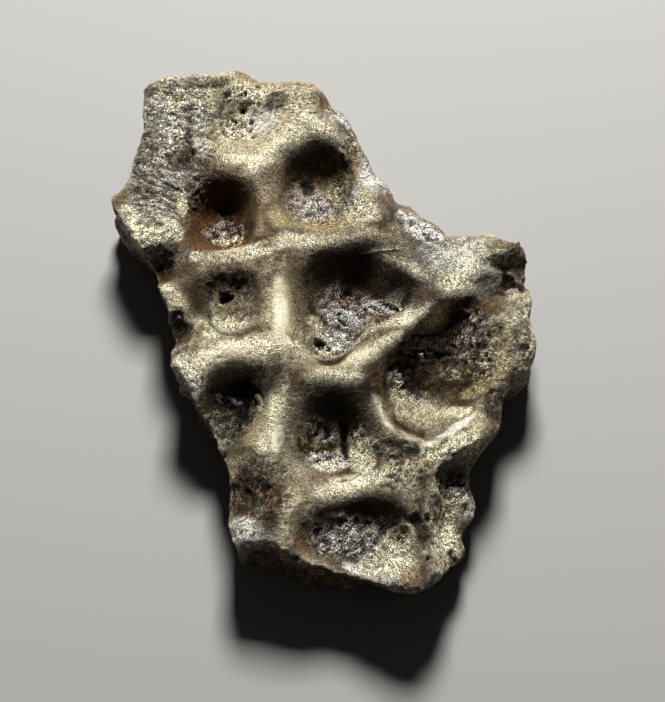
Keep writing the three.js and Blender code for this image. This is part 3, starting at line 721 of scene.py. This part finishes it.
def refine(bm, wanted):
    """Halves the squares whose middle, in millimetres, and slope pass the test."""
    faces = list(bm.faces)
    middles = np.array([f.calc_center_median() for f in faces]) / MM
    up = np.array([f.normal.z for f in faces])
    edges = {e for i in np.flatnonzero(wanted(middles, up)) for e in faces[i].edges}
    bmesh.ops.subdivide_edges(bm, edges=list(edges), cuts=1, use_grid_fill=True)
    bm.normal_update()


def near_fine_relief(places, up):
    """True close to an opening or a narrow line, where the squares are halved once more."""
    x, y = places[:, 0], places[:, 1]
    near = np.zeros(len(x), bool)
    for hole_x, hole_y, radius, _ in OPENINGS:
        if radius < NARROW_OPENING:
            near |= np.hypot(x - hole_x, y - hole_y) < ROUND_OPENING * radius
    for _, width, _, points in LINES:
        if width < NARROW_LINE:
            near |= reach_to_line(x, y, points) < ROUND_LINE * width
    return near & (up > FINE_SLOPE)


def carve_openings(places, up):
    """Sinks the openings for vessels into the face, each with a ragged mouth."""
    x, y = places[:, 0], places[:, 1]
    ragged = named_noise("ragged mouths", places)
    sink = np.zeros(len(places))
    for hole_x, hole_y, radius, depth in OPENINGS:
        reach = np.hypot(x - hole_x, y - hole_y) / radius + ragged
        sink = np.maximum(sink, depth * past("mouth", reach))
    places[:, 2] -= sink * past("sculpted slope", up)
    return sink


def draw_lines_and_rings(places, up):
    """Raises ridges and sinks grooves along the lines and the growth rings."""
    x, y = places[:, 0], places[:, 1]
    uneven = 1 + named_noise("uneven lines", places)
    rise = np.zeros(len(places))
    for _, width, height, points in LINES:
        reach = reach_to_line(x, y, points) / width
        rise += height * np.exp(-(reach**2)) * uneven
    for _, (middle_x, middle_y), radius, (start, end), width, height in RINGS:
        u, v = x - middle_x, y - middle_y
        reach = (np.hypot(u, v) + RING_WANDER * (uneven - 1) - radius) / width
        along = (np.degrees(np.arctan2(v, u)) - start) % 360 / (end - start)
        fade = past("start of a ring", along) * past("end of a ring", along)
        rise += height * np.exp(-(reach**2)) * fade
    places[:, 2] += rise * past("sculpted slope", up)


def patch_covers(places, up):
    """How far each patch covers each place, from 0 to 1, with an uneven edge."""
    ragged = named_noise("ragged edges", places)
    covers = []
    for _, middle_x, middle_y, half_u, half_v, angle, _, strength, *surface in PATCHES:
        u, v = turned(places[:, 0] - middle_x, places[:, 1] - middle_y, angle)
        reach = np.hypot(u / half_u, v / half_v) + ragged
        outside, inside = FADE_OF_CRUST if surface else FADE_OF_STAIN
        covers.append(strength * smoothstep(outside, inside, reach) * past("patched slope", up))
    return covers


def relief_height(kind, size, places):
    """Height of one kind of relief, about -1 to 1."""
    rough = lattice(places, size, 4, 1.7)
    if kind == "grains":
        near = cells(places, size, 5.3)[:, 0]
        return 1.5 * rough + 0.5 - 1.1 * near
    if kind == "lumps":
        near = cells(places, size, 2.9)
        return 1.2 * (near[:, 1] - near[:, 0]) + 1.1 * rough - 0.3
    if kind == "pores":
        near = cells(places, size, 8.8)[:, 0]
        return np.minimum(3.0 * near - 1.1, 0.4) + 0.8 * rough
    u, v = turned(places[:, 0], places[:, 1], FIBRE_ANGLE)
    along = np.column_stack([u / FIBRE_STRETCH, v, places[:, 2]])
    return 1.6 * lattice(along, size, 2, 9.4) + 0.3 * rough


def outer_walls(mesh, places, normals):
    """1 on the broken walls round the piece and 0 inside the pits, told apart by looking outwards."""
    bm = bmesh.new()
    bm.from_mesh(mesh)
    tree = BVHTree.FromBMesh(bm)
    bm.free()
    share = np.zeros(len(places))
    for i in np.flatnonzero(np.abs(normals[:, 2]) < STEEP_SLOPE):
        outwards = Vector((normals[i, 0], normals[i, 1], 0)).normalized()
        start = Vector(places[i] * MM) + outwards * WALL_CLEARANCE * MM
        if tree.ray_cast(start, outwards)[0] is None:
            share[i] = 1 - abs(normals[i, 2]) / STEEP_SLOPE
    return neighbour_mean(mesh, share, WALL_ROUNDS)


def neighbour_mean(mesh, values, rounds):
    """Values averaged over the neighbours of each vertex, again and again."""
    count = len(mesh.vertices)
    ends = np.empty(len(mesh.edges) * 2, np.int64)
    mesh.edges.foreach_get("vertices", ends)
    a, b = ends[::2], ends[1::2]
    degree = np.bincount(ends, minlength=count)
    for _ in range(rounds):
        total = np.bincount(a, values[b], count) + np.bincount(b, values[a], count)
        values = total / degree
    return values


def hollowness(mesh, rounds):
    """Positive in creases and pores, negative on edges and grains, in millimetres."""
    places, normals = vertex_arrays(mesh)
    around = np.column_stack([neighbour_mean(mesh, places[:, i], rounds) for i in range(3)])
    return ((around - places) * normals).sum(axis=1)


def surface_of_patches(places, covers):
    """Rise and coarseness that the patches give; crumbling ones keep their colour on the grains."""
    rise = np.zeros(len(places))
    coarse = np.full(len(places), BARE_GRAIN)
    for (*_, surface), cover in zip(PATCHES, covers):
        if surface not in SURFACES:
            continue
        kind, height, size, grain = SURFACES[surface]
        on = np.flatnonzero(cover > FAINT_COVER)
        share = cover[on]
        relief = relief_height(kind, size, places[on])
        rise[on] = rise[on] * (1 - share) + share * height * relief
        coarse[on] = coarse[on] * (1 - share) + share * grain
        if grain > CRUMBLING:
            cover[on] = share * (BETWEEN_GRAINS + (1 - BETWEEN_GRAINS) * past("tops of grains", relief))
    return rise, coarse


def broken_relief(places):
    """Height of the fracture in the walls: layers of bone with a sponge of small cells between."""
    near = cells(places, SPONGE_CELL, 1.1)[:, 0]
    sponge = SPONGE_RELIEF * np.minimum(2.6 * near - 1.0, 0.3)
    return named_noise("layers of the walls", places) + sponge


def sculpt(mesh, settings):
    """Adds the relief of the surface and returns what the colours need."""
    places, normals = vertex_arrays(mesh)
    up = normals[:, 2]
    walls = outer_walls(mesh, places, normals)
    depth = crest_level(places[:, 0], places[:, 1]) - places[:, 2]
    covers = patch_covers(places, up)
    rise, coarse = surface_of_patches(places, covers)
    rise *= settings.relief
    rise += named_noise("swells of the bone", places) + named_noise("grain of the bone", places)
    rise = rise * (1 - walls) + walls * broken_relief(places)
    under = past("sculpted inner face", up)
    rise = rise * (1 - under) + under * named_noise("streaks of the inner face", places)
    places += normals * rise[:, None]
    sink = carve_openings(places, up)
    draw_lines_and_rings(places, up)
    move_vertices(mesh, places)
    return {"covers": covers, "walls": walls, "depth": depth, "up": up, "sink": sink, "coarse": coarse}


def tint_of_bone(places, shape):
    """Linear colour of each vertex: bare bone, its drifts, stain and painted shade deep in the pits, the
    walls, the patches, the stains, and painted shade in the openings.
    """
    tint = np.tile(linear(PALETTE["bone"]), (len(places), 1))

    def cover_with(colour, share):
        share = np.clip(share, 0, 1)[:, None]
        return tint * (1 - share) + np.array(linear(PALETTE[colour])) * share

    walls, depth, up = shape["walls"], shape["depth"], shape["up"]
    drift = named_noise("drifts of colour", places)
    tint = cover_with("cream", past("light drifts", drift))
    tint = cover_with("umber", past("dark drifts", drift))
    # Dark stain and painted shade deep in the pits, away from the broken walls.
    tint = cover_with("dark", past("dark depth", depth) * past("pit slope", up) * (1 - walls))
    tint = cover_with("red brown", WALL_TINT * walls)
    spill = 1 - walls * past("depth without patches", depth)
    for (_, _, _, _, _, _, colour, *_), cover in zip(PATCHES, shape["covers"]):
        tint = cover_with(colour, cover * spill)
    mottle = past("mottling", named_noise("mottling", places))
    flecks = past("flecks", named_noise("flecks", places))
    tint = cover_with("dark", np.maximum(mottle, flecks) * past("crumbling ground", shape["coarse"]))
    tint = cover_with("rose", past("painted inner face", up))
    # Painted shade: the openings are black at their deepest.
    return cover_with("black", past("painted shade in an opening", shape["sink"]))


def paint(mesh, shape):
    """Writes the colour and the finish of every vertex into the mesh's attributes."""
    places, _ = vertex_arrays(mesh)
    tint = tint_of_bone(places, shape)
    lightness = tint.mean(axis=1)
    fine = hollowness(mesh, FINE_ROUNDS)
    broad = hollowness(mesh, BROAD_ROUNDS)
    # Pale wear on grain tips, and wear with a painted highlight on the ridges; none on dark stains or the
    # inner face.
    wear_and_highlight = past("wear of the grain", fine) + past("wear and highlight of the ridges", broad)
    wear_and_highlight *= (1 - past("stained", lightness)) * (1 - past("painted inner face", shape["up"]))
    coarse = shape["coarse"] * (1 - past("polish of the ridges", broad))
    # Painted shade with some dirt in pores and creases.
    write_attribute(mesh, "crease_shade_and_dirt", "FLOAT", past("pores", fine) + past("creases", broad))
    write_attribute(mesh, "wear_and_highlight", "FLOAT", wear_and_highlight)
    write_attribute(mesh, "chalk", "FLOAT", past("chalky", lightness))
    floor = past("floor depth", shape["depth"]) * past("level floor", shape["up"])
    write_attribute(mesh, "floor", "FLOAT", floor)
    write_attribute(mesh, "coarse", "FLOAT", np.maximum(coarse, shape["walls"]))
    write_attribute(mesh, "tint", "FLOAT_COLOR", np.column_stack([tint, np.ones(len(places))]))
    write_attribute(mesh, "spread", "FLOAT_VECTOR", spread_from_pits(places))


def spread_from_pits(places):
    """Coordinates round the nearest pit, in metres: along its rim, away from its middle, and up."""
    away = np.array([np.hypot(places[:, 0] - x, places[:, 1] - y) for x, y in PITS])
    nearest = away.argmin(axis=0)
    middles = np.array(PITS)[nearest]
    angle = np.arctan2(places[:, 1] - middles[:, 1], places[:, 0] - middles[:, 0])
    along = RIM_RADIUS * angle + PIT_SHIFT * nearest
    return np.column_stack([along, away.min(axis=0), places[:, 2]]) * MM


def write_attribute(mesh, name, kind, values):
    """Stores one value for each vertex."""
    attribute = mesh.attributes.new(name, kind, "POINT")
    member = {"FLOAT": "value", "FLOAT_VECTOR": "vector", "FLOAT_COLOR": "color"}[kind]
    attribute.data.foreach_set(member, np.ravel(values).astype(np.float32))


def add_node(material, kind, place, settings=None, **links):
    """Adds a node with its settings, and links its inputs to the outputs or values given."""
    tree = material.node_tree
    node = tree.nodes.new(kind)
    node.location = place
    for key, value in (settings or {}).items():
        setattr(node, key, value)
    for key, value in links.items():
        socket = node.inputs[int(key[1:])] if key[0] == "_" else node.inputs[key.replace("_", " ")]
        if isinstance(value, bpy.types.NodeSocket):
            tree.links.new(value, socket)
        else:
            socket.default_value = value
    return node


def blank_material(name):
    """A new node material that has no nodes yet."""
    material = bpy.data.materials.new(name)
    material.use_nodes = True
    material.node_tree.nodes.clear()
    return material


def permineralised_bone(settings):
    """Fossil bone: its pores are filled with minerals, so it is dense and has a satin shine.

    Handling and a light polish leave the ridges pale and shiny, with a painted highlight on them.
    The pits keep dark stains and painted shade, which are dull, and chalk; creases and pores get
    painted shade with some dirt.
    """
    material = blank_material("permineralised_bone")
    tint, crease_shade_and_dirt, wear_and_highlight, chalk, floor, coarse, spread = (
        add_node(material, "ShaderNodeAttribute", (-2200, 600 - 200 * row), {"attribute_name": name})
        for row, name in enumerate(("tint", "crease_shade_and_dirt", "wear_and_highlight", "chalk", "floor", "coarse", "spread"))
    )
    coords = {
        "all ways": add_node(material, "ShaderNodeTexCoord", (-1900, 0)).outputs["Object"],
        "from the pits": add_node(
            material, "ShaderNodeMapping", (-1900, -600), {"vector_type": "POINT"},
            Vector=spread.outputs["Vector"], Scale=FIBRE_SCALE,
        ).outputs["Vector"],
    }
    strength = add_node(
        material, "ShaderNodeMapRange", (-1900, -900),
        Value=coarse.outputs["Fac"], To_Min=TEXTURE_STRENGTH[0], To_Max=TEXTURE_STRENGTH[1],
    ).outputs["Result"]
    shade, normal, textures = 1.0, None, {}
    for row, (name, way, kind, size, octaves, dark, light, height) in enumerate(TEXTURES):
        y = 600 - 300 * row
        texture = add_node(
            material, "ShaderNodeTexNoise", (-1600, y), {"noise_type": kind, "normalize": True},
            Vector=coords[way], Scale=1 / (size * MM), Detail=octaves, Roughness=TEXTURE_ROUGHNESS,
        ).outputs["Fac"]
        tone = add_node(
            material, "ShaderNodeMapRange", (-1400, y), Value=texture,
            From_Min=TEXTURE_RANGE[0], From_Max=TEXTURE_RANGE[1], To_Min=dark - 1, To_Max=light - 1,
        ).outputs["Result"]
        tone = add_node(
            material, "ShaderNodeMath", (-1300, y), {"operation": "MULTIPLY_ADD"},
            _0=tone, _1=strength, _2=1.0,
        ).outputs["Value"]
        shade = add_node(
            material, "ShaderNodeMath", (-1200, y), {"operation": "MULTIPLY"}, _0=shade, _1=tone
        ).outputs["Value"]
        reach = add_node(
            material, "ShaderNodeMath", (-1400, y - 150), {"operation": "MULTIPLY"},
            _0=strength, _1=abs(height) * MM,
        ).outputs["Value"]
        links = {"Normal": normal} if normal else {}
        normal = add_node(
            material, "ShaderNodeBump", (-1200, y - 150), {"invert": height < 0},
            Strength=1.0, Distance=reach, Height=texture, **links,
        ).outputs["Normal"]
        textures[name] = texture
    colour = add_node(
        material, "ShaderNodeVectorMath", (-900, 400), {"operation": "SCALE"},
        _0=tint.outputs["Color"], Scale=shade,
    ).outputs["Vector"]
    ranges = (
        (textures["clouds"], WORN_AND_HIGHLIGHT_CLOUDS, (0.0, settings.wear_and_highlight)),
        (textures["clouds"], GLOSSY_CLOUDS, BONE_ROUGHNESS),
        (tint.outputs["Color"], STAIN_TO_BONE, SHINE),
    )
    worn_and_highlight, gloss, shine = (
        add_node(
            material, "ShaderNodeMapRange", (-900, 200 - 200 * row), Value=value,
            From_Min=start, From_Max=end, To_Min=low, To_Max=high,
        ).outputs["Result"]
        for row, (value, (start, end), (low, high)) in enumerate(ranges)
    )
    # The worn pale colour with a painted highlight on the ridges, then painted shade with some dirt in
    # creases and pores.
    for row, (share, amount, cover) in enumerate(
        ((wear_and_highlight, worn_and_highlight, settings.worn_and_highlight_colour), (crease_shade_and_dirt, settings.shade_and_dirt_in_creases, settings.crease_shade_and_dirt_colour))
    ):
        factor = add_node(
            material, "ShaderNodeMath", (-700 + 200 * row, 200), {"operation": "MULTIPLY"},
            _0=share.outputs["Fac"], _1=amount,
        ).outputs["Value"]
        colour = add_node(
            material, "ShaderNodeMix", (-700 + 200 * row, 400), {"data_type": "RGBA"},
            _0=factor, _6=colour, _7=(*cover, 1),
        ).outputs[2]
    for row, (share, amount) in enumerate(((chalk, CHALK_ROUGHNESS), (floor, FLOOR_ROUGHNESS))):
        gloss = add_node(
            material, "ShaderNodeMath", (-700 + 200 * row, -200), {"operation": "MULTIPLY_ADD"},
            _0=share.outputs["Fac"], _1=amount, _2=gloss,
        ).outputs["Value"]
    shader = add_node(
        material, "ShaderNodeBsdfPrincipled", (0, 0), Base_Color=colour, Roughness=gloss,
        Normal=normal, IOR=REFRACTIVE_INDEX, Specular_IOR_Level=shine,
    )
    add_node(material, "ShaderNodeOutputMaterial", (300, 0), Surface=shader.outputs["BSDF"])
    return material


def painted_board(settings):
    """Matt painted board for the floor: pale, with no sheen."""
    material = blank_material("matt_painted_board")
    shader = add_node(
        material, "ShaderNodeBsdfPrincipled", (0, 0), Base_Color=(*settings.floor_colour, 1), Roughness=0.9
    )
    add_node(material, "ShaderNodeOutputMaterial", (300, 0), Surface=shader.outputs["BSDF"])
    return material


class ScuteSettings(bpy.types.PropertyGroup):
    """Sizes and colours that a user may change."""

    mesh_size: bpy.props.FloatProperty(
        name="Mesh size", description="Side of the squares before the face is refined",
        default=0.40 * MM, unit="LENGTH", precision=5,
    )
    smoothing: bpy.props.IntProperty(
        name="Smoothing", description="Rounds of smoothing that take the facets off the solid", default=3
    )
    relief: bpy.props.FloatProperty(
        name="Relief", description="Strength of the grain, lumps and pores of the surface", default=1.0
    )
    # Share of the worn pale colour on the ridges, which is also a painted highlight.
    wear_and_highlight: bpy.props.FloatProperty(
        name="Wear", description="How much of the ridges is rubbed pale", default=0.75, subtype="FACTOR"
    )
    # How much painted shade, with some dirt, lies in the creases and pores.
    shade_and_dirt_in_creases: bpy.props.FloatProperty(
        name="Dirt", description="How much stain lies in the creases", default=0.7, subtype="FACTOR"
    )
    # Worn pale bone that also paints the highlight on the ridges.
    worn_and_highlight_colour: bpy.props.FloatVectorProperty(
        name="Worn bone", description="Colour of the rubbed ridges",
        subtype="COLOR", default=linear("#b0a890"),
    )
    # Colour of the painted shade and dirt in creases and pores.
    crease_shade_and_dirt_colour: bpy.props.FloatVectorProperty(
        name="Stain", description="Colour of the dirt in creases",
        subtype="COLOR", default=linear("#1f170e"),
    )
    floor_colour: bpy.props.FloatVectorProperty(
        name="Floor", description="Colour of the floor", subtype="COLOR", default=linear("#8c8b88")
    )
    key_power: bpy.props.FloatProperty(
        name="Key light", description="Power of the soft light behind the piece", default=2.8, unit="POWER"
    )
    sky: bpy.props.FloatProperty(
        name="Fill", description="Strength of the even light all round", default=0.05
    )


class SCUTE_OT_bone(bpy.types.Operator):
    """Makes the bone: the solid's form with its relief, colours and finish."""

    bl_idname = "scute.bone"
    bl_label = "Make the bone"

    def execute(self, context):
        settings = context.scene.scute
        mesh = remeshed_bone(settings)
        paint(mesh, sculpt(mesh, settings))
        mesh.polygons.foreach_set("use_smooth", [True] * len(mesh.polygons))
        mesh.materials.clear()
        mesh.materials.append(permineralised_bone(settings))
        bone = bpy.data.objects.new("scute_bone", mesh)
        context.scene.collection.objects.link(bone)
        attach(bone, "root")
        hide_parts("scute")
        return {"FINISHED"}


class SCUTE_OT_stage(bpy.types.Operator):
    """Makes the floor, the lights and the camera."""

    bl_idname = "scute.stage"
    bl_label = "Make the stage"

    def execute(self, context):
        settings = context.scene.scute
        make_floor(settings)
        make_lights(context, settings)
        make_camera(context)
        return {"FINISHED"}


def make_floor(settings):
    """A wide flat board under the piece."""
    bm = bmesh.new()
    bmesh.ops.create_grid(bm, x_segments=1, y_segments=1, size=1.5)
    mesh = bpy.data.meshes.new("floor")
    bm.to_mesh(mesh)
    bm.free()
    mesh.materials.append(painted_board(settings))
    floor = bpy.data.objects.new("floor", mesh)
    bpy.context.scene.collection.objects.link(floor)


def make_lights(context, settings):
    """One soft lamp behind the piece, and a weak even light all round."""
    lamp = bpy.data.lights.new("key", "AREA")
    lamp.energy = settings.key_power
    lamp.size = LAMP_SIZE
    key = bpy.data.objects.new("key", lamp)
    a, e = math.radians(LAMP_AZIMUTH), math.radians(LAMP_ELEVATION)
    towards = Vector((math.sin(a) * math.cos(e), math.cos(a) * math.cos(e), math.sin(e)))
    key.location = towards * LAMP_DISTANCE
    key.rotation_euler = (-towards).to_track_quat("-Z", "Y").to_euler()
    context.scene.collection.objects.link(key)
    world = bpy.data.worlds.new("soft_room")
    context.scene.world = world
    world.use_nodes = True
    background = world.node_tree.nodes["Background"]
    background.inputs["Color"].default_value = (1, 1, 1, 1)
    background.inputs["Strength"].default_value = settings.sky
    context.scene.view_settings.view_transform = "Standard"
    context.scene.view_settings.look = "Medium High Contrast"


def make_camera(context):
    """A camera in front of the piece, looking down at it."""
    elevation = math.radians(68)
    distance = 0.300
    target = Vector((0.0010, -0.0024, 0.0060))
    camera = bpy.data.cameras.new("camera")
    camera.sensor_width = 36
    camera.lens = 163.1
    obj = bpy.data.objects.new("camera", camera)
    obj.location = target + distance * Vector((0, -math.cos(elevation), math.sin(elevation)))
    obj.rotation_euler = (math.pi / 2 - elevation, 0, 0)
    context.scene.collection.objects.link(obj)
    context.scene.camera = obj


class SCUTE_PT_panel(bpy.types.Panel):
    """Lists the settings and the makers in the sidebar."""

    bl_idname = "SCUTE_PT_panel"
    bl_label = "Fossil scute"
    bl_space_type = "VIEW_3D"
    bl_region_type = "UI"
    bl_category = "Scute"

    def draw(self, context):
        for name in ScuteSettings.__annotations__:
            self.layout.prop(context.scene.scute, name)
        self.layout.operator(SCUTE_OT_bone.bl_idname)
        self.layout.operator(SCUTE_OT_stage.bl_idname)


CLASSES = (ScuteSettings, SCUTE_OT_bone, SCUTE_OT_stage, SCUTE_PT_panel)


def register():
    """Makes the add-on's classes and settings known to Blender."""
    for cls in CLASSES:
        bpy.utils.register_class(cls)
    bpy.types.Scene.scute = bpy.props.PointerProperty(type=ScuteSettings)


def unregister():
    """Takes them away again."""
    del bpy.types.Scene.scute
    for cls in reversed(CLASSES):
        bpy.utils.unregister_class(cls)


def main():
    """Makes everything."""
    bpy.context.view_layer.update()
    register()
    bpy.ops.scute.stage()
    bpy.ops.scute.bone()


if __name__ == "__main__":
    main()
